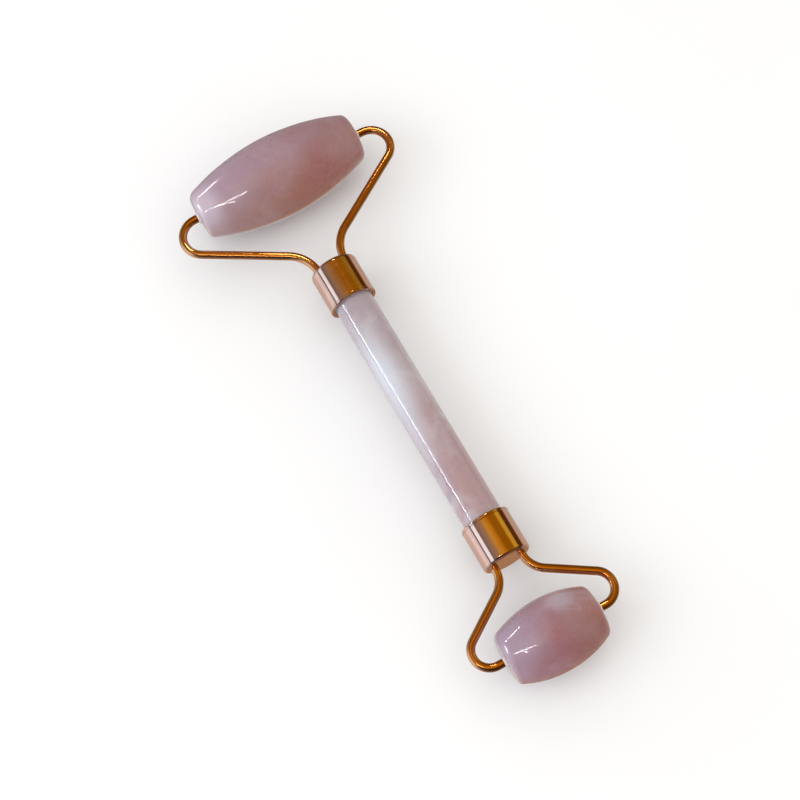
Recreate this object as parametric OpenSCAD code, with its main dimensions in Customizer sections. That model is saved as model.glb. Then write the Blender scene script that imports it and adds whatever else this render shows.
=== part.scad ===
// Two-headed face roller: a polished stone rod, a drawn ferrule at each end, and in each
// ferrule a bent wire fork that carries a barrel-shaped stone on two plain bushes.
// X runs along the handle towards the large head, Y along both roller axes, Z is up.
// The origin is the middle of the handle rod.

/* [Handle rod] */
// Diameter of the rod
rod_d = 9.3; // [7:0.1:12]
// Length of the rod that shows between the two ferrules
rod_show = 60.4; // [40:0.1:90]
// Length of the rod inside each ferrule
rod_seat = 4.4; // [3:0.1:8]
// Bevel on the two hidden ends of the rod
rod_bevel = 0.4; // [0.1:0.05:0.8]

/* [Ferrules] */
// Thickness of the ferrule's drawn wall
ferrule_wall = 0.7; // [0.5:0.05:1.2]
// Thickness of the ferrule's closed end
ferrule_end = 0.8; // [0.5:0.05:1.5]
// Radius of the outer edge at the closed end
ferrule_round = 1.2; // [0.4:0.05:1.2]
// Radius of the two edges of the open lip
lip_round = 0.3; // [0.1:0.05:0.3]
// Bore of the ferrule less the rod, each side, filled with resin
glue_gap = 0.4; // [0.2:0.05:0.8]
// Depth of the resin's face below the open lip
resin_recess = 0.5; // [0.2:0.05:1]
// Gap that the resin leaves to the metal and stone when it cures
cure_gap = 0.02; // [0.01:0.01:0.04]

/* [Fork wire] */
// Diameter of the wire
wire_d = 2; // [1.5:0.1:2.4]
// Gap between a wire leg and the ferrule's bore
leg_gap = 0.65; // [0.5:0.05:0.9]
// Radial gap of a wire leg in its hole through the closed end
hole_gap = 0.05; // [0.03:0.01:0.08]
// Straight leg between the closed end and the hidden bend
bend_lead = 0.5; // [0.2:0.1:2]
// Gap between the hidden bend and the rod
bend_gap = 0.4; // [0.1:0.1:2]
// Straight leg outside the ferrule before the first bend
arm_lead = 0.3; // [0.1:0.1:2]
// Bevel on the tips of the wire
tip_bevel = 0.3; // [0.1:0.05:0.5]

/* [Large head] */
// Length of the large stone
large_len = 41.9; // [32:0.1:52]
// Diameter of the large stone at its middle
large_d = 19.7; // [16:0.1:24]
// Diameter of the large stone at its ends
large_end_d = 11.3; // [8:0.1:14]
// Gap between the large ferrule and the large stone
large_palm = 17.8; // [15:0.1:30]
// Radius of the wire's first bend
large_bend = 8.9; // [6:0.1:10]
// Radius of the wire's bend back into the stone
large_loop = 4.8; // [3:0.1:6]

/* [Small head] */
// Length of the small stone
small_len = 22.8; // [19:0.1:30]
// Diameter of the small stone at its middle
small_d = 17; // [14:0.1:21]
// Diameter of the small stone at its ends
small_end_d = 11.6; // [8:0.1:13.5]
// Gap between the small ferrule and the small stone
small_palm = 10.5; // [9:0.1:20]
// Radius of the wire's first bend
small_bend = 6.1; // [4:0.1:8]
// Radius of the wire's bend back into the stone
small_loop = 4; // [3:0.1:6]

/* [Stones and bushes] */
// Radius of the edge between a stone's barrel and its flat end
edge_round = 1; // [0.5:0.1:1.2]
// Wall of a bush
bush_wall = 0.35; // [0.25:0.05:0.6]
// Radial running gap of the wire tip in its bush
run_gap = 0.06; // [0.03:0.01:0.1]
// Radial gap of a bush in its stone
seat_gap = 0.02; // [0.01:0.01:0.04]
// Length of a bush inside its stone
bush_seat = 6; // [4:0.1:8]
// Length of a bush that stands out of its stone
bush_proud = 0.8; // [0.4:0.1:1.5]
// Depth of a stone's bore past its bush
bore_spare = 1; // [0.5:0.1:2]
// Distance of the wire's tip from the inner end of its bush
tip_gap = 1; // [0.5:0.1:2]
// Gap between the large stone's bush and the wire's bend
large_play = 0.95; // [0.3:0.05:3]
// Gap between the small stone's bush and the wire's bend
small_play = 1.25; // [0.3:0.05:3]

/* [Hidden] */
$fn = 96;
eps = 0.01;                 // how far a cut passes the face it cuts
blend = 0.01;               // how far a rounding arc stands out where it meets its faces
barrel_fn = 720;            // sides of the barrel's circle, which is many times the stone's size
link_len = 0.2;             // length of the disc that joins two lengths of wire
link_lip = 0.005;           // how far that disc stands out of the wire
link_gap = 0.05;            // how far each length of wire stops short of the joint

rod_r = rod_d / 2;
bore_r = rod_r + glue_gap;
ferrule_r = bore_r + ferrule_wall;
wire_r = wire_d / 2;
leg_y = bore_r - leg_gap - wire_r;
ferrule_len = ferrule_end + bend_lead + leg_y + wire_r + bend_gap + rod_seat;
face_x = rod_show / 2 + ferrule_len;      // outer face of a ferrule's closed end
rod_len = rod_show + 2 * rod_seat;

bush_bore_r = wire_r + run_gap;
bush_r = bush_bore_r + bush_wall;
tip_depth = bush_seat - tip_gap;          // how far the wire's tip goes into its stone

// One list for each head: stone length, middle radius, end radius, gap to the ferrule,
// first bend, bend back, play
large_head = [large_len, large_d / 2, large_end_d / 2, large_palm, large_bend, large_loop, large_play];
small_head = [small_len, small_d / 2, small_end_d / 2, small_palm, small_bend, small_loop, small_play];

function half_len(h) = h[0] / 2;
function mid_r(h) = h[1];
function end_r(h) = h[2];
function palm(h) = h[3];
function bend_r(h) = h[4];
function loop_r(h) = h[5];
function play(h) = h[6];

// Where the roller's axis is from the ferrule's face, and where the wire turns into the stone
function reach(h) = mid_r(h) + palm(h);
function turn_y(h) = half_len(h) + bush_proud + play(h);

// The straight arm is the inner tangent of the two bends
function run_x(h) = reach(h) - arm_lead - loop_r(h);
function run_y(h) = turn_y(h) - leg_y - bend_r(h);
function bends(h) = bend_r(h) + loop_r(h);
function arm_len(h) = sqrt(pow(run_x(h), 2) + pow(run_y(h), 2) - pow(bends(h), 2));
function arm_angle(h) = atan2(run_y(h), run_x(h)) + atan2(bends(h), arm_len(h));

quartz = [0.80, 0.62, 0.64];
quartz_pale = [0.84, 0.78, 0.80];
rose_gold = [0.78, 0.52, 0.36];
clear_plastic = [0.86, 0.82, 0.80];
amber_resin = [0.72, 0.45, 0.35];

// ---- placing ----

// Along the handle, from the large ferrule's closed face outwards
module at_large() { translate([face_x, 0, 0]) children(); }

// The same for the small head, which faces the other way
module at_small() { translate([-face_x, 0, 0]) mirror([1, 0, 0]) children(); }

// A profile's axis laid along X
module along_x() { rotate([0, 90, 0]) children(); }

// A profile's axis laid along Y
module along_y() { rotate([-90, 0, 0]) children(); }

// ---- profiles: first coordinate is the radius, second runs along the axis ----

// What a rounded corner of radius r takes off a square corner at [x, y]; sx and sy are
// 1 or -1 and give the side that the corner points to
module corner_waste(x, y, r, sx, sy) {
    translate([x, y])
        mirror([sx < 0 ? 1 : 0, 0])
            mirror([0, sy < 0 ? 1 : 0])
                translate([-r, -r])
                    difference() {
                        square(2 * r);
                        circle(r + blend);
                    }
}

module ferrule_profile() {
    difference() {
        translate([0, -ferrule_len])
            square([ferrule_r, ferrule_len]);
        translate([-eps, -ferrule_len - eps])
            square([bore_r + eps, ferrule_len - ferrule_end + eps]);
        corner_waste(ferrule_r, 0, ferrule_round, 1, 1);
        corner_waste(ferrule_r, -ferrule_len, lip_round, 1, -1);
        corner_waste(bore_r, -ferrule_len, lip_round, -1, -1);
    }
}

module stone_profile(h) {
    half = half_len(h);
    rise = mid_r(h) - end_r(h);
    arc_r = (half * half + rise * rise) / (2 * rise);
    arc_x = mid_r(h) - arc_r;
    // centre of the edge's arc, which touches the barrel and the flat end
    edge_y = half - edge_round + blend;
    edge_x = arc_x + sqrt(pow(arc_r - edge_round + blend, 2) - pow(edge_y, 2));
    edge_dir = atan2(edge_y, edge_x - arc_x);
    wedge = 4 * edge_round;      // size of the wedge that the edge's arc is cut from
    difference() {
        intersection() {
            translate([arc_x, 0])
                circle(arc_r, $fn = barrel_fn);
            translate([0, -half])
                square([mid_r(h) + eps, 2 * half]);
        }
        for (s = [0, 1])
            mirror([0, s])
                translate([edge_x, edge_y])
                    difference() {
                        polygon([
                            [0, 0],
                            [wedge * cos(edge_dir), wedge * sin(edge_dir)],
                            [wedge, wedge],
                            [0, wedge]
                        ]);
                        circle(edge_round);
                    }
    }
}

// ---- sub-parts ----

module handle_rod() {
    color(quartz_pale)
        along_x()
            rotate_extrude()
                polygon([
                    [0, -rod_len / 2],
                    [rod_r - rod_bevel, -rod_len / 2],
                    [rod_r, -rod_len / 2 + rod_bevel],
                    [rod_r, rod_len / 2 - rod_bevel],
                    [rod_r - rod_bevel, rod_len / 2],
                    [0, rod_len / 2]
                ]);
}

// Drawn cup with two holes in its closed end, which lies at x = 0
module ferrule() {
    color(rose_gold)
        difference() {
            along_x()
                rotate_extrude()
                    ferrule_profile();
            for (s = [-1, 1])
                translate([-ferrule_end - eps, s * leg_y, 0])
                    along_x()
                        cylinder(h = ferrule_end + 2 * eps, r = wire_r + hole_gap);
        }
}

// A wire is swept in lengths that stop short of each other, and a disc a hair wider than
// the wire joins each two. r is the wire's radius, and the disc's axis is Z.
module link(r) {
    translate([0, 0, -link_len / 2])
        cylinder(h = link_len, r = r + link_lip);
}

// Straight length of wire along X, from just past one link to just short of the next
module straight(length, r) {
    translate([link_gap, 0, 0])
        along_x()
            cylinder(h = length - 2 * link_gap, r = r);
}

// Bend of radius turn and angle a in the XY plane about the origin, from the +X side, with
// a link at each end
module bend(turn, a, r) {
    short = asin(link_gap / turn);
    rotate([0, 0, short])
        rotate_extrude(angle = a - 2 * short)
            translate([turn, 0])
                circle(r);
    for (end = [0, a])
        rotate([0, 0, end])
            translate([turn, 0, 0])
                along_y()
                    link(r);
}

// The hidden bend and the two legs that run out through the closed end
module wire_root(r) {
    bend_x = -ferrule_end - bend_lead;
    translate([bend_x, 0, 0])
        rotate([0, 0, 90])
            bend(leg_y, 180, r);
    for (s = [-1, 1])
        translate([bend_x, s * leg_y, 0])
            straight(arm_lead - bend_x, r);
}

// One arm outside the ferrule: first bend, straight arm, bend back, and the tip in the stone
module wire_arm(h) {
    a = arm_angle(h);
    tip_len = turn_y(h) - half_len(h) + tip_depth;
    translate([arm_lead, leg_y + bend_r(h), 0])
        rotate([0, 0, -90])
            bend(bend_r(h), a, wire_r);
    translate([arm_lead + bend_r(h) * sin(a), leg_y + bend_r(h) * (1 - cos(a)), 0])
        rotate([0, 0, a])
            straight(arm_len(h), wire_r);
    translate([reach(h) - loop_r(h), turn_y(h), 0])
        bend(loop_r(h), a + 90, wire_r);
    translate([reach(h), turn_y(h), 0])
        rotate([0, 0, -90])
            along_x() {
                translate([0, 0, link_gap])
                    cylinder(h = tip_len - tip_bevel - link_gap, r = wire_r);
                translate([0, 0, tip_len - tip_bevel])
                    cylinder(h = tip_bevel, r1 = wire_r, r2 = wire_r - tip_bevel);
            }
}

module fork(h) {
    color(rose_gold) {
        wire_root(wire_r);
        wire_arm(h);
        mirror([0, 1, 0])
            wire_arm(h);
    }
}

// Cured resin: a thin sleeve round the rod's end and a plug round the hidden bend
module resin() {
    plug_len = ferrule_len - ferrule_end - rod_seat - cure_gap;
    sleeve_len = ferrule_len - ferrule_end - resin_recess - cure_gap;
    color(amber_resin)
        difference() {
            translate([-ferrule_end - cure_gap - sleeve_len, 0, 0])
                along_x()
                    cylinder(h = sleeve_len, r = bore_r - cure_gap);
            translate([-ferrule_end - cure_gap - sleeve_len - eps, 0, 0])
                along_x()
                    cylinder(h = sleeve_len - plug_len + cure_gap + eps, r = rod_r + cure_gap);
            wire_root(wire_r + cure_gap);
        }
}

// Barrel with rounded edges, flat ends and a blind bore from each end
module stone(h) {
    depth = bush_seat + bore_spare;
    color(quartz)
        translate([reach(h), 0, 0])
            difference() {
                along_y()
                    rotate_extrude()
                        stone_profile(h);
                for (s = [0, 1])
                    mirror([0, s, 0])
                        translate([0, half_len(h) - depth, 0])
                            along_y()
                                cylinder(h = depth + eps, r = bush_r + seat_gap);
            }
}

// Plain plastic tube glued into the stone, in which the wire's tip turns
module bush(h, side) {
    color(clear_plastic)
        translate([reach(h), 0, 0])
            mirror([0, side < 0 ? 1 : 0, 0])
                translate([0, half_len(h) - bush_seat, 0])
                    along_y()
                        difference() {
                            cylinder(h = bush_seat + bush_proud, r = bush_r);
                            translate([0, 0, -eps])
                                cylinder(h = bush_seat + bush_proud + 2 * eps, r = bush_bore_r);
                        }
}

handle_rod();
at_large() ferrule();  // large_ferrule
at_small() ferrule();  // small_ferrule
at_large() resin();  // large_resin
at_small() resin();  // small_resin
at_large() fork(large_head);  // large_fork
at_small() fork(small_head);  // small_fork
at_large() stone(large_head);  // large_stone
at_small() stone(small_head);  // small_stone
at_large() bush(large_head, 1);  // large_bush_left
at_large() bush(large_head, -1);  // large_bush_right
at_small() bush(small_head, 1);  // small_bush_left
at_small() bush(small_head, -1);  // small_bush_right
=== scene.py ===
"""Two-headed rose quartz face roller: looks, floor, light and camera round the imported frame."""

from math import asin, atan2, cos, pi, radians, sin, sqrt, tan

import bmesh
import bpy
from mathutils import Matrix, Vector, noise


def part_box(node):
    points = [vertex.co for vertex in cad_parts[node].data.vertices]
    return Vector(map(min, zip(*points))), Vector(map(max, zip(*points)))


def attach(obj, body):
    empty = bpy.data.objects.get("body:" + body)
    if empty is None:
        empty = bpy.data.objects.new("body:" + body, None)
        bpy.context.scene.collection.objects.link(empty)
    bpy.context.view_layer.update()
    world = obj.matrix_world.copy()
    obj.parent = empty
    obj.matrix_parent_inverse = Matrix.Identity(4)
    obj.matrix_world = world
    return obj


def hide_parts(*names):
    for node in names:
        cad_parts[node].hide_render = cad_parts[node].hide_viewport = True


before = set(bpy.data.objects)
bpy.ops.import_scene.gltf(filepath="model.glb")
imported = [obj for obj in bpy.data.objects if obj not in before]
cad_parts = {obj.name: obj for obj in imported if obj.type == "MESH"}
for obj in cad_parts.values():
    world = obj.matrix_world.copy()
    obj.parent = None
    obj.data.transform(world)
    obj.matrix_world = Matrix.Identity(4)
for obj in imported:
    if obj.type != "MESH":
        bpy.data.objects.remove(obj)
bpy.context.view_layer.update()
MM = 0.001

# ---- sizes in millimetres that a node's box doesn't give ----
LEG_Y = 3.4             # wire leg from the handle's axis
BORE_R = 5.05           # bore of a ferrule
FERRULE_END = 0.8       # thickness of its closed end
FERRULE_ROUND = 0.8     # outer edge at the closed end
LIP_BEAD = 0.07         # how far the rolled lip stands out
HOLE_GAP = 0.05         # wire leg in its hole
BEND_LEAD = 0.5         # straight leg before the hidden bend
ARM_LEAD = 0.3          # straight leg outside the ferrule
TIP_BEVEL = 0.3         # bevel on a wire's tip
ROD_BEVEL = 0.4         # bevel on the rod's hidden ends
HAND_EDGES = 1.0, 2.6   # sharpest and softest edge between a stone's barrel and its end
SOFT_EDGE_AT = 0.6      # radians from +X towards +Z to the softest edge
END_LEAN = 0.7          # how far the end leans out there
STONE_BORE_R = 1.43     # blind bore of a stone
STONE_BORE_DEPTH = 7.0
BUSH_BORE_R = 1.06
TIP_DEPTH = 5.0         # how far a wire's tip goes into its stone
RESIN_GAP = 0.02        # resin round the rod

# Each head: end radius of its stone, first bend and loop of its wire, and 1 at the +X end or
# -1 at the -X end
HEADS = {
    "large": {"end_r": 5.65, "bend": 8.9, "loop": 4.8, "side": 1},
    "small": {"end_r": 5.8, "bend": 6.1, "loop": 4.0, "side": -1},
}

# How finely each round face is divided
ROD_SIDES, ROD_STEPS = 128, 90
CUP_SIDES, HOLE_SIDES = 160, 48
RESIN_SIDES = 96
WIRE_SIDES = 40
STONE_SIDES, STONE_STEPS = 192, 80
BUSH_SIDES = 64

# Unevenness of hand polishing: height, length and seed
ROD_POLISH = 0.03, 7, 3
CUP_POLISH = 0.012, 2.6, 9
WIRE_POLISH = 0.012, 3.0, 5
STONE_POLISH = 0.05, 6  # its seed is the head's side


# ---- node helpers ----

def new_material(name):
    """A material, its node tree and its Principled shader."""
    mat = bpy.data.materials.new(name)
    mat.use_nodes = True
    return mat, mat.node_tree, mat.node_tree.nodes["Principled BSDF"]


def add(tree, kind, inputs=None, **settings):
    """Adds a node. Inputs are values, or output sockets to join."""
    node = tree.nodes.new(kind)
    for key, value in settings.items():
        setattr(node, key, value)
    for key, value in (inputs or {}).items():
        if isinstance(value, bpy.types.NodeSocket):
            tree.links.new(value, node.inputs[key])
        else:
            node.inputs[key].default_value = value
    return node


def place(tree, scale=(1, 1, 1), offset=(0, 0, 0)):
    """Object coordinates in metres, scaled and moved."""
    coords = add(tree, "ShaderNodeTexCoord")
    return add(tree, "ShaderNodeMapping", {
        "Vector": coords.outputs["Object"], "Scale": scale, "Location": offset,
    }).outputs["Vector"]


def cloud(tree, scale, detail=3.0, roughness=0.5, distortion=0.0, stretch=(1, 1, 1),
          offset=(0, 0, 0)):
    """Noise from 0 to 1, with about scale blotches to a metre."""
    return add(tree, "ShaderNodeTexNoise", {
        "Vector": place(tree, stretch, offset), "Scale": scale, "Detail": detail,
        "Roughness": roughness, "Distortion": distortion,
    }).outputs["Fac"]


def ramp(tree, value, stops, smooth=True):
    """A colour ramp with stops of (position, colour) or (position, grey)."""
    node = add(tree, "ShaderNodeValToRGB", {"Fac": value})
    bar = node.color_ramp
    bar.interpolation = "EASE" if smooth else "LINEAR"
    while len(bar.elements) < len(stops):
        bar.elements.new(1.0)
    for element, (position, colour) in zip(bar.elements, stops):
        element.position = position
        element.color = (*colour, 1) if isinstance(colour, tuple) else (colour, colour, colour, 1)
    return node.outputs["Color"]


def blend_colours(tree, factor, below, above):
    """Colour below where factor is 0 and above where it is 1. Each may be a colour or a socket."""
    node = add(tree, "ShaderNodeMix", data_type="RGBA")
    for index, value in ((0, factor), (6, below), (7, above)):
        socket = node.inputs[index]
        if isinstance(value, bpy.types.NodeSocket):
            tree.links.new(value, socket)
        else:
            socket.default_value = (*value, 1) if isinstance(value, tuple) else value
    return node.outputs[2]


def spot(tree, centre, size, edge=0.6):
    """1 inside an ellipsoid of that size in millimetres round centre, fading to 0 at its edge."""
    middle = Vector(centre) * MM
    reach = [1 / (s * MM) for s in size]
    shifted = add(tree, "ShaderNodeVectorMath", {
        0: add(tree, "ShaderNodeTexCoord").outputs["Object"], 1: middle,
    }, operation="SUBTRACT")
    scaled = add(tree, "ShaderNodeVectorMath", {0: shifted.outputs[0], 1: reach},
                 operation="MULTIPLY")
    length = add(tree, "ShaderNodeVectorMath", {0: scaled.outputs[0]}, operation="LENGTH")
    return ramp(tree, length.outputs["Value"], [(1 - edge, 1.0), (1.0, 0.0)])


def times(tree, a, b):
    """Product of two values or sockets."""
    return add(tree, "ShaderNodeMath", {0: a, 1: b}, operation="MULTIPLY").outputs[0]


def across(tree, axis, start, end, blur=0.0):
    """0 before start and 1 past end along an axis, in millimetres, with a clouded border."""
    point = add(tree, "ShaderNodeTexCoord").outputs["Object"]
    if blur:
        drift = add(tree, "ShaderNodeTexNoise", {"Vector": point, "Scale": 90, "Detail": 2})
        centred = add(tree, "ShaderNodeVectorMath", {
            0: drift.outputs["Color"], 1: (0.5, 0.5, 0.5),
        }, operation="SUBTRACT")
        moved = add(tree, "ShaderNodeVectorMath", {
            0: centred.outputs[0], 1: (blur * MM,) * 3, 2: point,
        }, operation="MULTIPLY_ADD")
        point = moved.outputs[0]
    value = add(tree, "ShaderNodeSeparateXYZ", {0: point}).outputs[axis]
    return add(tree, "ShaderNodeMapRange", {
        "Value": value, "From Min": start * MM, "From Max": end * MM,
    }, interpolation_type="SMOOTHSTEP").outputs[0]


# ---- materials ----

def quartz(name, colours, axis, reach, middle, spots, pale, milky, seed):
    """Polished rose quartz. Its body colour drifts from one end to the other and from the +X side
    to the -X side, partly its own tone and partly painted light and shade; then come blotches,
    some of them painted light, milky clouds, wisps and faint healed cracks.
    colours is [[near +X, near -X] at the high end, the same at the low end]. reach is how far
    along the axis the ends are, middle is where the sides meet, and milky is the clouds' share."""
    mat, tree, shader = new_material(name)
    # The drift along and across is partly the quartz's own tone and partly painted light and
    # shade, set for each piece below
    along = across(tree, axis, -reach, reach, 14)
    side = across(tree, "X", middle[0], middle[1], 10)
    high, low = (blend_colours(tree, side, far, near) for near, far in colours)
    colour = blend_colours(tree, along, low, high)
    for centre, size, shade, strength in spots:
        here = times(tree, spot(tree, centre, size, 0.9), strength)
        colour = blend_colours(tree, here, colour, shade)
    shift = (seed, seed * 1.7, seed * 0.6)
    milk = ramp(tree, cloud(tree, 120, 3, 0.5, 0.8, offset=shift), [(0.42, 0.0), (0.75, milky)])
    colour = blend_colours(tree, milk, colour, pale)
    streaks = cloud(tree, 330, 4, 0.6, 1.5, (1, 0.4, 1), shift)
    wisp = ramp(tree, streaks, [(0.55, 0.0), (0.8, 0.12)])
    colour = blend_colours(tree, wisp, colour, pale)
    crack = cloud(tree, 70, 3, 0.5, 0.4, (1, 0.6, 1), (seed * 2, 0, seed))
    line = ramp(tree, crack, [(0.487, 0.0), (0.5, 0.16), (0.513, 0.0)])
    patch = ramp(tree, cloud(tree, 60, 2, 0.5, 0, offset=(seed, 0, 0)), [(0.52, 0.0), (0.68, 1.0)])
    colour = blend_colours(tree, times(tree, line, patch), colour, pale)
    grain = cloud(tree, 1100, 2, 0.5)
    colour = blend_colours(tree, ramp(tree, grain, [(0.35, 0.0), (0.75, 0.06)]), colour, pale)
    tree.links.new(colour, shader.inputs["Base Color"])
    gloss = ramp(tree, cloud(tree, 260, 4, 0.6), [(0.3, 0.26), (0.75, 0.36)])
    tree.links.new(gloss, shader.inputs["Roughness"])
    bump = add(tree, "ShaderNodeBump", {
        "Strength": 0.05, "Distance": 0.0002, "Height": cloud(tree, 500, 3, 0.5),
    })
    tree.links.new(bump.outputs["Normal"], shader.inputs["Normal"])
    shader.inputs["IOR"].default_value = 1.54
    shader.inputs["Subsurface Weight"].default_value = 0.7
    shader.inputs["Subsurface Radius"].default_value = (1.0, 0.7, 0.68)
    shader.inputs["Subsurface Scale"].default_value = 0.003
    shader.inputs["Coat Weight"].default_value = 1.0
    shader.inputs["Coat Roughness"].default_value = 0.03
    shader.inputs["Specular IOR Level"].default_value = 0.15
    return mat


def rose_gold(name, marks, dark, light):
    """Polished rose gold plate. marks stretches the polishing lines along or round the metal, and
    its tone drifts from dark to light."""
    mat, tree, shader = new_material(name)
    tone = ramp(tree, cloud(tree, 220, 3, 0.6), [(0.3, dark), (0.72, light)])
    wear = ramp(tree, cloud(tree, 1500, 3, 0.65), [(0.62, 0.0), (0.8, 0.5)])
    colour = blend_colours(tree, wear, tone, (0.76, 0.52, 0.42))
    tree.links.new(colour, shader.inputs["Base Color"])
    shader.inputs["Metallic"].default_value = 1.0
    gloss = ramp(tree, cloud(tree, 40, 4, 0.7, 0, marks), [(0.3, 0.05), (0.7, 0.13)])
    tree.links.new(gloss, shader.inputs["Roughness"])
    lines = add(tree, "ShaderNodeBump", {
        "Strength": 0.08, "Distance": 0.0001, "Height": cloud(tree, 40, 2, 0.6, 0, marks),
    })
    tree.links.new(lines.outputs["Normal"], shader.inputs["Normal"])
    return mat


def clear_plastic():
    """Milky clear plastic of the bushes."""
    mat, tree, shader = new_material("bush_plastic")
    tones = [(0.3, (0.74, 0.68, 0.66)), (0.7, (0.84, 0.80, 0.78))]
    colour = ramp(tree, cloud(tree, 600, 3), tones)
    tree.links.new(colour, shader.inputs["Base Color"])
    gloss = ramp(tree, cloud(tree, 900, 2), [(0.3, 0.18), (0.7, 0.3)])
    tree.links.new(gloss, shader.inputs["Roughness"])
    shader.inputs["IOR"].default_value = 1.49
    shader.inputs["Subsurface Weight"].default_value = 0.6
    shader.inputs["Subsurface Radius"].default_value = (1.0, 0.9, 0.85)
    shader.inputs["Subsurface Scale"].default_value = 0.001
    return mat


def cured_resin():
    """Rosy amber resin between the rod and its ferrule, partly its own colour and partly painted
    light: made lighter to fill the shade in the gap between lip and rod.
    """
    mat, tree, shader = new_material("amber_resin")
    # Lighter than the resin's own tone: painted light that fills the shade of the recess at the
    # lip
    tones = [(0.3, (0.50, 0.30, 0.27)), (0.7, (0.60, 0.38, 0.34))]
    colour = ramp(tree, cloud(tree, 700, 3), tones)
    tree.links.new(colour, shader.inputs["Base Color"])
    gloss = ramp(tree, cloud(tree, 1200, 2), [(0.3, 0.12), (0.7, 0.25)])
    tree.links.new(gloss, shader.inputs["Roughness"])
    shader.inputs["IOR"].default_value = 1.5
    shader.inputs["Subsurface Weight"].default_value = 0.3
    shader.inputs["Subsurface Scale"].default_value = 0.0008
    return mat


def table_top():
    """Matt pale table."""
    mat, tree, shader = new_material("pale_table")
    tones = [(0.3, (0.86, 0.86, 0.86)), (0.7, (0.885, 0.883, 0.88))]
    colour = ramp(tree, cloud(tree, 8, 3), tones)
    tree.links.new(colour, shader.inputs["Base Color"])
    shader.inputs["Roughness"].default_value = 0.7
    return mat


# ---- mesh helpers: everything is built in millimetres and scaled once ----

def corner(before, at, after, radius, steps=7):
    """Points of an arc of that radius in the corner at, with a point just outside each end."""
    if radius == 0:
        return [at]
    a, p, b = Vector(before), Vector(at), Vector(after)
    to_a, to_b = (a - p).normalized(), (b - p).normalized()
    half = to_a.angle(to_b) / 2
    cut = radius / tan(half)
    centre = p + (to_a + to_b).normalized() * (radius / sin(half))
    start, end = p + to_a * cut, p + to_b * cut
    spoke_a, spoke_b = start - centre, end - centre
    turn = spoke_a.angle_signed(spoke_b)
    points = [start + to_a * radius * 0.12]
    for i in range(steps + 1):
        points.append(centre + Matrix.Rotation(-turn * i / steps, 2) @ spoke_a)
    points.append(end + to_b * radius * 0.12)
    return [tuple(q) for q in points]


def rounded(corners):
    """An open outline with its corners rounded. Each corner is (x, y, radius)."""
    points = [corners[0][:2]]
    for before, at, after in zip(corners, corners[1:], corners[2:]):
        points += corner(before[:2], at[:2], after[:2], at[2])
    return points + [corners[-1][:2]]


def ring_faces(bm, rings):
    """Quads between neighbouring rings, and triangles at a ring of one vertex."""
    for low, high in zip(rings, rings[1:]):
        n = max(len(low), len(high))
        for i in range(n):
            j = (i + 1) % n
            if len(low) == 1:
                bm.faces.new((low[0], high[j], high[i]))
            elif len(high) == 1:
                bm.faces.new((low[i], low[j], high[0]))
            else:
                bm.faces.new((low[i], low[j], high[j], high[i]))


def lathe_rings(bm, outline, sides, wave=None):
    """Rings of vertices about X from an outline of (radius, x). wave(point) moves a point out."""
    rings = []
    for r, x in outline:
        if r < 1e-6:
            rings.append([bm.verts.new((x, 0, 0))])
            continue
        ring = []
        for i in range(sides):
            a = 2 * pi * i / sides
            out = Vector((0, cos(a), sin(a)))
            p = out * r + Vector((x, 0, 0))
            if wave:
                p += out * wave(p, r)
            ring.append(bm.verts.new(p))
        rings.append(ring)
    return rings


def finish_mesh(bm, name, material, body, replaces, matrix=Matrix.Identity(4)):
    """Turns the millimetre mesh into a piece in its place that rides on its body."""
    bmesh.ops.recalc_face_normals(bm, faces=bm.faces)
    bm.transform(matrix)
    if matrix.determinant() < 0:
        bmesh.ops.reverse_faces(bm, faces=bm.faces)
    bm.transform(Matrix.Scale(MM, 4))
    mesh = bpy.data.meshes.new(name)
    bm.to_mesh(mesh)
    bm.free()
    for polygon in mesh.polygons:
        polygon.use_smooth = True
    mesh.materials.append(material)
    piece = bpy.data.objects.new(name, mesh)
    bpy.context.scene.collection.objects.link(piece)
    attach(piece, body)
    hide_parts(replaces)
    return piece


def size_of(node):
    """A node's box in millimetres."""
    low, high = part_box(node)
    return low / MM, high / MM


def polish_wave(depth, length, seed):
    """A slow unevenness of hand polishing, depth millimetres high and length long."""
    def wave(p, r):
        return depth * noise.noise(p / length + Vector((seed, seed, seed)))
    return wave


# ---- pieces ----

def make_rod():
    """Polished rod with bevelled ends."""
    high = size_of("handle_rod")[1]
    r, half = high.z, high.x
    outline = rounded([
        (0, -half, 0), (r - ROD_BEVEL, -half, 0.1), (r, -half + ROD_BEVEL, 0.2),
        (r, half - ROD_BEVEL, 0.2), (r - ROD_BEVEL, half, 0.1), (0, half, 0),
    ])
    reach = half - ROD_BEVEL - 1
    middle = [(r, reach * (2 * i / ROD_STEPS - 1)) for i in range(ROD_STEPS + 1)]
    split = len(outline) // 2
    bm = bmesh.new()
    ring_faces(bm, lathe_rings(bm, outline[:split] + middle + outline[split:], ROD_SIDES,
                               polish_wave(*ROD_POLISH)))
    return finish_mesh(bm, "quartz_rod", MATERIALS["handle_quartz"], "handle",
                       "handle_rod")


def hole_ring(bm, y, x, r):
    """Vertices of a hole's circle of radius r about y at x."""
    turns = (2 * pi * i / HOLE_SIDES for i in range(HOLE_SIDES))
    return [bm.verts.new((x, y + r * cos(a), r * sin(a))) for a in turns]


def flat_with_holes(bm, rings):
    """Fills the flat face between an outer ring and the rings of its holes."""
    edges = []
    for ring in rings:
        for a, b in zip(ring, ring[1:] + ring[:1]):
            edges.append(bm.edges.get((a, b)) or bm.edges.new((a, b)))
    bmesh.ops.triangle_fill(bm, use_beauty=True, use_dissolve=False, edges=edges)


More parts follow.
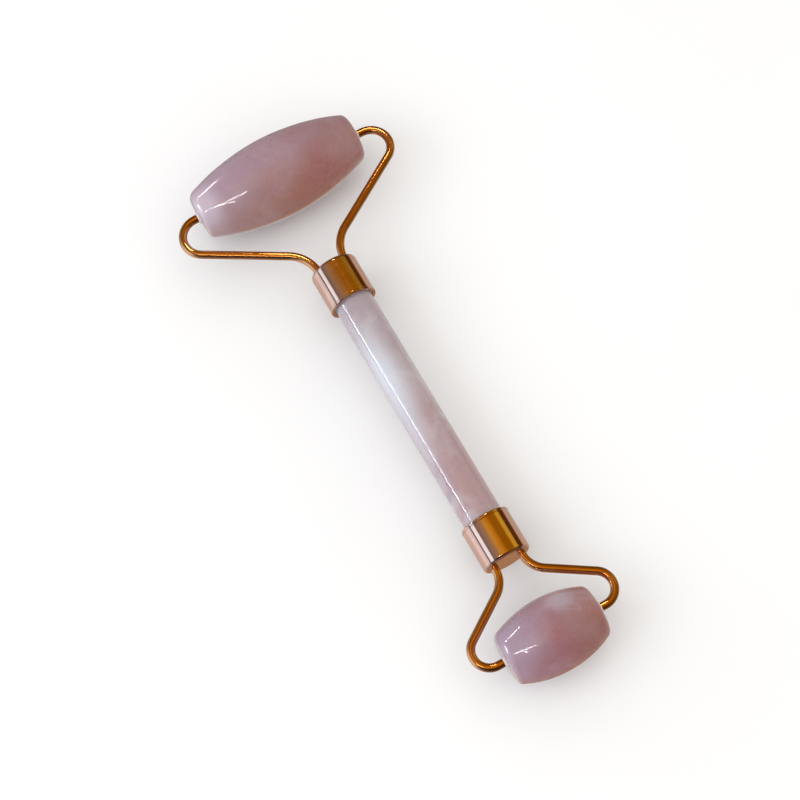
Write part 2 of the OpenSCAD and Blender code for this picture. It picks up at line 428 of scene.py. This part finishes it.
def make_ferrule(head, spec):
    """Drawn cup: x is 0 at the closed face and the open lip is at -length."""
    low, high = size_of(head + "_ferrule")
    length, r = high.x - low.x, high.z
    face = max(abs(low.x), abs(high.x))
    outline = rounded([
        (r - FERRULE_ROUND - 0.3, 0, 0), (r, 0, FERRULE_ROUND), (r, -length / 2, 0),
        (r, -length + 0.95, 0), (r, -length + 0.85, 0), (r - 0.015, -length + 0.7, 0.08),
        (r + LIP_BEAD, -length + 0.6, 0.12), (r + LIP_BEAD, -length, 0.27),
        (BORE_R, -length, 0.12), (BORE_R, -FERRULE_END, 0.3), (BORE_R - 0.7, -FERRULE_END, 0),
    ])
    bm = bmesh.new()
    rings = lathe_rings(bm, outline, CUP_SIDES, polish_wave(*CUP_POLISH))
    ring_faces(bm, rings)
    hole_r = size_of(head + "_fork")[1].z + HOLE_GAP
    edge = 0.12
    outline = rounded([
        (hole_r + 0.25, 0, 0), (hole_r, 0, edge), (hole_r, -FERRULE_END, edge),
        (hole_r + 0.25, -FERRULE_END, 0),
    ])
    outer, inner = [rings[0]], [rings[-1]]
    for y in (-LEG_Y, LEG_Y):
        tube = [hole_ring(bm, y, x, radius) for radius, x in outline]
        ring_faces(bm, tube)
        outer.append(tube[0])
        inner.append(tube[-1])
    flat_with_holes(bm, outer)
    flat_with_holes(bm, inner)
    place_head = Matrix.Diagonal((spec["side"], 1, 1, 1)) @ Matrix.Translation((face, 0, 0))
    return finish_mesh(bm, head + "_gold_ferrule", MATERIALS["rose_gold_cup"], "handle",
                       head + "_ferrule", place_head)


def make_resin(head, spec):
    """Plug behind the rod and sleeve round it, whose open face sinks between rod and lip."""
    low, high = size_of(head + "_resin")
    rod_high = size_of("handle_rod")[1]
    inner, outer = sorted((abs(low.x), abs(high.x)))
    rod_r, rod_end = rod_high.z + RESIN_GAP, rod_high.x + RESIN_GAP
    outline = rounded([
        (0, outer, 0), (high.z, outer, 0.2), (high.z, inner - 0.12, 0.03),
        ((high.z + rod_r) / 2, inner - 0.02, 0.08), (rod_r, inner - 0.22, 0.02),
        (rod_r, rod_end, 0.1), (0, rod_end, 0),
    ])
    bm = bmesh.new()
    ring_faces(bm, lathe_rings(bm, outline, RESIN_SIDES))
    return finish_mesh(bm, head + "_amber_resin", MATERIALS["cured_resin"], "handle",
                       head + "_resin", Matrix.Diagonal((spec["side"], 1, 1, 1)))


def walk(start, heading, moves):
    """Points and headings of a flat path. A move is (length,) or (radius, angle to turn)."""
    at, points = Vector(start), [(Vector(start), heading)]
    for move in moves:
        if len(move) == 1:
            steps = max(1, round(move[0] / 0.6))
            ahead = Vector((cos(heading), sin(heading)))
            points += [(at + ahead * (move[0] * i / steps), heading)
                       for i in range(1, steps + 1)]
        else:
            radius, turn = move
            side = 1 if turn > 0 else -1
            centre = at + Vector((-sin(heading), cos(heading))) * radius * side
            spoke = at - centre
            steps = max(6, round(radius * abs(turn) / 0.25))
            for i in range(1, steps + 1):
                a = turn * i / steps
                points.append((centre + Matrix.Rotation(a, 2) @ spoke, heading + a))
            heading += turn
        at = points[-1][0]
    return points


def wire_path(head, spec):
    """The fork's centre line from tip to tip; x is 0 at the ferrule's closed face."""
    fork_high = size_of(head + "_fork")[1]
    stone_low, stone_high = size_of(head + "_stone")
    ferrule_low, ferrule_high = size_of(head + "_ferrule")
    face = max(abs(ferrule_low.x), abs(ferrule_high.x))
    wire_r, bend, loop = fork_high.z, spec["bend"], spec["loop"]
    reach = abs(stone_low.x + stone_high.x) / 2 - face
    turn_y = fork_high.y - wire_r - loop
    run_x, run_y = reach - ARM_LEAD - loop, turn_y - LEG_Y - bend
    arm = sqrt(run_x ** 2 + run_y ** 2 - (bend + loop) ** 2)
    angle = atan2(run_y, run_x) + atan2(bend + loop, arm)
    half = walk((-FERRULE_END - BEND_LEAD - LEG_Y, 0), pi / 2, [
        (LEG_Y, -pi / 2), (FERRULE_END + BEND_LEAD + ARM_LEAD,), (bend, angle), (arm,),
        (loop, -angle - pi / 2), (turn_y - stone_high.y + TIP_DEPTH,),
    ])
    other = [(Vector((p.x, -p.y)), pi - heading) for p, heading in reversed(half[1:])]
    return other + half, wire_r, face


def make_fork(head, spec):
    """One bent wire, swept along its path, with bevelled tips."""
    path, wire_r, face = wire_path(head, spec)
    wave = polish_wave(*WIRE_POLISH)
    bm = bmesh.new()
    rings = []
    last = len(path) - 1
    for i, (p, heading) in enumerate(path):
        out = Vector((-sin(heading), cos(heading), 0))
        ring = []
        for k in range(WIRE_SIDES):
            a = 2 * pi * k / WIRE_SIDES
            spoke = out * cos(a) + Vector((0, 0, sin(a)))
            at = Vector((p.x, p.y, 0))
            radius = wire_r - (TIP_BEVEL if i in (0, last) else 0)
            ring.append(bm.verts.new(at + spoke * (radius + wave(at + spoke * wire_r, radius))))
        rings.append(ring)
    ring_faces(bm, rings)
    bm.faces.new(rings[0])
    bm.faces.new(rings[-1])
    place_head = Matrix.Diagonal((spec["side"], 1, 1, 1)) @ Matrix.Translation((face, 0, 0))
    return finish_mesh(bm, head + "_wire_fork", MATERIALS["rose_gold_wire"], "handle",
                       head + "_fork", place_head)


def stone_outline(half, mid_r, end_r, edges, leans):
    """Half section of a stone as (radius, along). Each end has its own edge radius and lean."""
    rise = mid_r - end_r
    arc_r = (half ** 2 + rise ** 2) / (2 * rise)
    reach = half - max(HAND_EDGES)
    barrel = []
    for i in range(STONE_STEPS + 1):
        y = reach - 2 * reach * i / STONE_STEPS
        barrel.append((mid_r - arc_r + sqrt(arc_r ** 2 - y ** 2), y, 0))
    deep = half - STONE_BORE_DEPTH
    ends = []
    for edge, lean in zip(edges, leans):
        ends.append([
            (0, deep, 0), (STONE_BORE_R, deep, 0.1), (STONE_BORE_R, half + 0.08, 0.2),
            (end_r, half + lean, edge),
        ])
    low = [(r, -y, rounding) for r, y, rounding in reversed(ends[1])]
    return rounded(ends[0] + barrel + low)


def make_stone(head, spec):
    """Barrel with a blind bore from each end, about Y. On its +X side the +Y end leans out and its
    hand-cut edge is softer."""
    low, high = size_of(head + "_stone")
    half, mid_r = high.y, high.z
    sharp, soft = HAND_EDGES
    wave = stone_wave(spec["side"])
    bm = bmesh.new()
    columns = []
    for i in range(STONE_SIDES):
        outward = 0.5 + 0.5 * cos(2 * pi * i / STONE_SIDES - SOFT_EDGE_AT)
        edges = (sharp + (soft - sharp) * outward, (sharp + soft) / 2)
        leans = (END_LEAN * outward, 0)
        columns.append(stone_outline(half, mid_r, spec["end_r"], edges, leans))
    rings = []
    for k in range(len(columns[0])):
        if columns[0][k][0] < 1e-6:
            rings.append([bm.verts.new((0, columns[0][k][1], 0))])
            continue
        ring = []
        for i, column in enumerate(columns):
            a = 2 * pi * i / STONE_SIDES
            out = Vector((cos(a), 0, sin(a)))
            p = out * column[k][0] + Vector((0, column[k][1], 0))
            ring.append(bm.verts.new(p + out * wave(p, column[k][0])))
        rings.append(ring)
    ring_faces(bm, rings)
    middle = Matrix.Translation(((low.x + high.x) / 2, 0, 0))
    return finish_mesh(bm, head + "_quartz_stone", MATERIALS[head + "_quartz"],
                       head + "_roller", head + "_stone", middle)


def stone_wave(seed):
    """Polishing unevenness on the barrel and none near the bore."""
    wave = polish_wave(*STONE_POLISH, seed)

    def only_outside(p, r):
        return wave(p, r) * min(max((r - 2.5) / 2, 0), 1)
    return only_outside


def make_bush(head, side_name):
    """Plain tube with softened edges."""
    node = f"{head}_bush_{side_name}"
    low, high = size_of(node)
    r = high.z
    mid = (low.y + high.y) / 2
    half = (high.y - low.y) / 2
    loop = [(BUSH_BORE_R, 0, 0), (BUSH_BORE_R, half, 0.08), (r, half, 0.1), (r, -half, 0.1),
            (BUSH_BORE_R, -half, 0.08), (BUSH_BORE_R, 0, 0)]
    bm = bmesh.new()
    rings = lathe_rings(bm, rounded(loop)[:-1], BUSH_SIDES)
    ring_faces(bm, rings + rings[:1])
    turn = Matrix.Translation(((low.x + high.x) / 2, mid, 0)) @ Matrix.Rotation(pi / 2, 4, "Z")
    return finish_mesh(bm, f"{head}_clear_bush_{side_name}", MATERIALS["clear_plastic"],
                       head + "_roller", node, turn)


# ---- floor, light and camera ----

FLOOR_REACH = 3.0    # how far the table top reaches each way, in metres
ROOM_RADIUS = 2.4    # in metres


def make_floor():
    """A table top that touches both stones, which stand on different radii. Polished surfaces
    mirror the room's lower half in its place."""
    big_low, big_high = size_of("large_stone")
    small_low, small_high = size_of("small_stone")
    big_x, small_x = (big_low.x + big_high.x) / 2, (small_low.x + small_high.x) / 2
    slope = asin((big_high.z - small_high.z) / (big_x - small_x))
    bm = bmesh.new()
    bmesh.ops.create_grid(bm, x_segments=8, y_segments=8, size=FLOOR_REACH)
    mesh = bpy.data.meshes.new("table_top")
    bm.to_mesh(mesh)
    bm.free()
    mesh.materials.append(table_top())
    floor = bpy.data.objects.new("table_top", mesh)
    bpy.context.scene.collection.objects.link(floor)
    floor.rotation_euler = (0, slope, 0)
    normal = Vector((sin(slope), 0, cos(slope)))
    contact = Vector((big_x, 0, 0)) - normal * big_high.z
    floor.location = (contact - Vector((cos(slope), 0, -sin(slope))) * big_x) * MM
    floor.visible_glossy = False


def direction(azimuth, elevation):
    """Unit vector, azimuth from +X towards +Y, both in degrees."""
    a, e = radians(azimuth), radians(elevation)
    return Vector((cos(a) * cos(e), sin(a) * cos(e), sin(e)))


def area_light(name, place_at, size, power, colour=(1, 1, 1), glossy=True, diffuse=True, roll=0):
    """A rectangular light that faces the object, of some size in metres and power in watts."""
    light = bpy.data.lights.new(name, "AREA")
    light.shape = "RECTANGLE"
    light.size, light.size_y = size
    light.energy = power
    light.color = colour
    obj = bpy.data.objects.new(name, light)
    bpy.context.scene.collection.objects.link(obj)
    obj.location = place_at
    aim = place_at.to_track_quat("Z", "Y").to_matrix() @ Matrix.Rotation(radians(roll), 3, "Z")
    obj.rotation_euler = aim.to_euler()
    obj.visible_camera = False
    obj.visible_glossy = glossy
    obj.visible_diffuse = diffuse
    return obj


# What polished surfaces mirror, by the angle about the handle: 0 is the +Y horizon, 90 overhead,
# 180 the -Y horizon and 270 straight down. Pale table, dark skirting, window, grey wall, amber
# ceiling, gold curtain, dark skirting, table.
ROOM_BANDS = [
    (0, (0.95, 1.05, 1.25)), (3, (0.85, 0.95, 1.15)), (7, (0.16, 0.15, 0.20)),
    (11, (0.16, 0.15, 0.20)), (14, (1.25, 1.65, 2.2)), (29, (1.2, 1.55, 2.1)),
    (33, (0.22, 0.19, 0.22)), (44, (0.30, 0.26, 0.24)), (58, (0.42, 0.30, 0.20)),
    (72, (0.41, 0.25, 0.10)), (90, (0.39, 0.185, 0.015)), (110, (0.37, 0.16, 0.003)),
    (132, (0.35, 0.165, 0.004)), (146, (0.38, 0.24, 0.03)), (160, (0.38, 0.26, 0.04)),
    (165, (0.11, 0.04, 0.002)), (185, (0.12, 0.05, 0.01)), (192, (0.66, 0.56, 0.52)),
    (225, (0.60, 0.53, 0.48)), (270, (0.60, 0.56, 0.52)), (305, (0.72, 0.70, 0.70)),
    (330, (0.85, 0.85, 0.95)), (345, (1.15, 1.25, 1.6)), (360, (0.95, 1.05, 1.25)),
]
# How bright that is by the sine of the angle towards +X
ROOM_ALONG = [(-1.0, 0.3), (-0.75, 0.45), (-0.4, 0.8), (0.0, 1.05), (0.3, 1.05), (0.4, 1.0),
              (0.6, 0.65), (0.85, 0.4), (1.0, 0.35)]
# Soft patches on it: azimuth, elevation, radius and soft edge in degrees, colour it multiplies by
ROOM_PATCHES = [
    (100, 84, 12, 14, (1.75, 1.8, 1.0)),    # lamp on the ceiling
    (-81, 31, 6, 8, (1.9, 2.1, 1.7)),       # sunlit part of the curtain
    (150, 18, 28, 22, (0.3, 0.22, 0.2)),    # someone in dark clothes
    (199, -70, 8, 14, (0.85, 0.55, 0.34)),  # copper dish on the table
]


def room_colour(tree):
    """Radiance of the room in each direction."""
    coords = add(tree, "ShaderNodeTexCoord").outputs["Object"]
    unit = add(tree, "ShaderNodeVectorMath", {0: coords}, operation="NORMALIZE").outputs[0]
    parts = add(tree, "ShaderNodeSeparateXYZ", {0: unit})
    turn = add(tree, "ShaderNodeMath", {0: parts.outputs["Z"], 1: parts.outputs["Y"]},
               operation="ARCTAN2").outputs[0]
    share = add(tree, "ShaderNodeMath", {0: times(tree, turn, 0.5 / pi)},
                operation="FRACT").outputs[0]
    colour = ramp(tree, share, [(a / 360, shade) for a, shade in ROOM_BANDS], smooth=False)
    half = add(tree, "ShaderNodeMath", {0: parts.outputs["X"], 1: 0.5, 2: 0.5},
               operation="MULTIPLY_ADD").outputs[0]
    along = ramp(tree, half, [(x / 2 + 0.5, grey) for x, grey in ROOM_ALONG], smooth=False)
    colour = add(tree, "ShaderNodeVectorMath", {0: colour, 1: along},
                 operation="MULTIPLY").outputs[0]
    for azimuth, elevation, radius, soft, shade in ROOM_PATCHES:
        near = add(tree, "ShaderNodeVectorMath", {0: unit, 1: direction(azimuth, elevation)},
                   operation="DOT_PRODUCT").outputs["Value"]
        inside = add(tree, "ShaderNodeMapRange", {
            "Value": near, "From Min": cos(radians(radius + soft)),
            "From Max": cos(radians(radius)),
        }, interpolation_type="SMOOTHSTEP").outputs[0]
        tint = blend_colours(tree, inside, (1.0, 1.0, 1.0), shade)
        colour = add(tree, "ShaderNodeVectorMath", {0: colour, 1: tint},
                     operation="MULTIPLY").outputs[0]
    return colour


def make_room():
    """A room that only polished surfaces mirror. It lights nothing and the camera doesn't see
    it."""
    mat = bpy.data.materials.new("room_reflection")
    mat.use_nodes = True
    tree = mat.node_tree
    tree.nodes.remove(tree.nodes["Principled BSDF"])
    glow = add(tree, "ShaderNodeEmission", {"Color": room_colour(tree), "Strength": 1.0})
    tree.links.new(glow.outputs[0], tree.nodes["Material Output"].inputs["Surface"])
    bm = bmesh.new()
    bmesh.ops.create_uvsphere(bm, u_segments=48, v_segments=24, radius=ROOM_RADIUS)
    mesh = bpy.data.meshes.new("room")
    bm.to_mesh(mesh)
    bm.free()
    mesh.materials.append(mat)
    room = bpy.data.objects.new("room", mesh)
    bpy.context.scene.collection.objects.link(room)
    room.visible_camera = room.visible_diffuse = room.visible_shadow = False
    room.visible_transmission = room.visible_volume_scatter = False


def make_light():
    """Even pale light all round and one large soft key from +Y."""
    world = bpy.data.worlds.new("studio")
    world.use_nodes = True
    world.node_tree.nodes["Background"].inputs["Color"].default_value = (1.0, 0.99, 0.98, 1)
    world.node_tree.nodes["Background"].inputs["Strength"].default_value = 1.07
    bpy.context.scene.world = world
    area_light("key", direction(80, 38) * 0.9, (0.7, 0.5), 2.1, (0.86, 0.93, 1.0), glossy=False)


def make_highlights():
    """Thin strips whose highlights show on the quartz."""
    return [
        area_light("rod_strip", direction(72, 17) * 0.7, (0.17, 0.02), 0.5, diffuse=False),
        area_light("far_strip", direction(26, 22) * 0.8, (0.25, 0.026), 0.75, diffuse=False),
        area_light("near_strip", Vector((-0.122, 0.243, 0.486)), (0.22, 0.012), 0.27,
                   diffuse=False, roll=38),
        area_light("near_wedge", Vector((-0.151, 0.276, 0.460)), (0.19, 0.010), 0.15,
                   diffuse=False, roll=-8),
    ]


def make_end_light():
    """A window that shows as a short highlight on the rounded edge of each stone's near end."""
    return area_light("end_window", direction(66, 16) * 0.8, (0.30, 0.16), 1.8, diffuse=False)


def make_glints():
    """Small lamps whose warm glints show on the bent wires and the rims of the cups."""
    gold = (1.0, 0.80, 0.45)
    return [
        area_light("lamp_glint", Vector((-0.12, 0.25, 0.49)), (0.16, 0.02), 0.12, gold,
                   diffuse=False, roll=38),
        area_light("side_glint", direction(-20, 52) * 0.6, (0.10, 0.04), 0.3, gold,
                   diffuse=False),
    ]


def shine_only_on(lights, pieces):
    """Keeps the narrow highlights of these lights to these pieces."""
    group = bpy.data.collections.new(lights[0].name + "_receivers")
    for piece in pieces:
        group.objects.link(piece)
    for light in lights:
        light.light_linking.receiver_collection = group


# Fitted to the photo's outlines with the CAD sizes held: where the camera is and what it looks
# at in millimetres, its roll in degrees and its lens in millimetres
CAMERA_AT = -123.1, 47.1, 377.7
CAMERA_TARGET = 4.0, 2.35, 0
CAMERA_ROLL = 10.29
CAMERA_LENS = 79.3


def make_camera():
    """The view from above the small head's end, looking down on both heads."""
    place_at, target = Vector(CAMERA_AT), Vector(CAMERA_TARGET)
    roll = radians(CAMERA_ROLL)
    data = bpy.data.cameras.new("camera")
    data.lens, data.sensor_width = CAMERA_LENS, 36
    data.clip_start, data.clip_end = 0.01, 20
    camera = bpy.data.objects.new("camera", data)
    bpy.context.scene.collection.objects.link(camera)
    forward = (target - place_at).normalized()
    level = forward.cross(Vector((0, 0, 1))).normalized()
    right = Matrix.Rotation(roll, 3, forward) @ level
    up = right.cross(forward)
    turn = Matrix((right, up, -forward)).transposed().to_4x4()
    camera.matrix_world = Matrix.Translation(place_at * MM) @ turn
    bpy.context.scene.camera = camera


make_camera()
make_floor()
make_room()
make_light()
highlights = make_highlights()
end_light = make_end_light()
glints = make_glints()

# Body colours, partly their own tone and partly painted light and shade: [[near +X, near -X] at
# the high end, the same at the low end]; then blotches, some of them painted light, as centre and
# half sizes in millimetres, colour, strength
# Painted light and shade: paler and cooler at the +Y end, which faces the key light, darker and
# warmer towards the -Y end and on the -X side, in shade
LARGE_COLOURS = [
    [(0.36, 0.25, 0.31), (0.35, 0.20, 0.18)],
    [(0.30, 0.165, 0.17), (0.32, 0.105, 0.06)],
]
LARGE_SPOTS = [
    # Pale patch at the lit +Y end: partly milky quartz, partly a painted glow of light beside the
    # highlights
    ((67, 19.5, 6), (9, 6, 12), (0.60, 0.54, 0.62), 0.65),
    ((63, -9, 6), (9, 7, 8), (0.31, 0.12, 0.13), 0.4),
]
# Painted light and shade: paler and cooler at the +Y end, which faces the key light, darker and
# warmer towards the -Y end and on the -X side, in shade
SMALL_COLOURS = [
    [(0.35, 0.24, 0.31), (0.31, 0.15, 0.17)],
    [(0.31, 0.145, 0.135), (0.27, 0.105, 0.08)],
]
SMALL_SPOTS = [
    ((-60, 9, 6), (10, 6, 9), (0.38, 0.29, 0.37), 0.5),
    ((-61, 0, 5), (8, 5, 8), (0.30, 0.10, 0.11), 0.7),
    ((-55, -4.5, 6), (4.5, 5, 7), (0.43, 0.36, 0.40), 0.75),
]
# Partly the rod's own tone and partly painted shade: the +X end is toned down a little where it
# meets its ferrule
ROD_COLOURS = [
    [(0.39, 0.32, 0.35), (0.40, 0.31, 0.33)],
    [(0.41, 0.28, 0.31), (0.40, 0.27, 0.28)],
]
ROD_SPOTS = [
    ((-6, 3.5, 2.5), (13, 5, 6), (0.52, 0.50, 0.54), 0.7),
    ((6, -3.5, 2), (13, 4.5, 6), (0.47, 0.42, 0.41), 0.65),
    ((-20, 4.5, 1), (10, 4, 6), (0.31, 0.25, 0.29), 0.55),
    # Painted light: the +Y side paler and bluish, as under the cool key light from that side
    ((9, 2.5, 3), (19, 6, 8), (0.60, 0.63, 0.68), 0.9),
]
MATERIALS = {
    "large_quartz": quartz("large_rose_quartz", LARGE_COLOURS, "Y", 21, (56, 69), LARGE_SPOTS,
                           (0.52, 0.42, 0.46), 0.15, 1.0),
    "small_quartz": quartz("small_rose_quartz", SMALL_COLOURS, "Y", 11, (-68, -60), SMALL_SPOTS,
                           (0.50, 0.41, 0.46), 0.22, 4.0),
    "handle_quartz": quartz("pale_rose_quartz", ROD_COLOURS, "X", 26, (-30, 30), ROD_SPOTS,
                            (0.58, 0.57, 0.60), 0.42, 7.0),
    "rose_gold_cup": rose_gold("rose_gold_cup", (60, 1, 1),
                               (0.65, 0.405, 0.285), (0.71, 0.455, 0.335)),
    "rose_gold_wire": rose_gold("rose_gold_wire", (3, 3, 3),
                                (0.64, 0.31, 0.13), (0.73, 0.39, 0.19)),
    "clear_plastic": clear_plastic(),
    "cured_resin": cured_resin(),
}

quartz_pieces, metal_pieces = [make_rod()], []
for head, spec in HEADS.items():
    metal_pieces.append(make_ferrule(head, spec))
    make_resin(head, spec)
    metal_pieces.append(make_fork(head, spec))
    quartz_pieces.append(make_stone(head, spec))
    for side_name in ("left", "right"):
        make_bush(head, side_name)

shine_only_on(highlights, quartz_pieces)
shine_only_on([end_light], quartz_pieces[1:])
shine_only_on(glints, metal_pieces)
bpy.context.scene.view_settings.view_transform = "Standard"
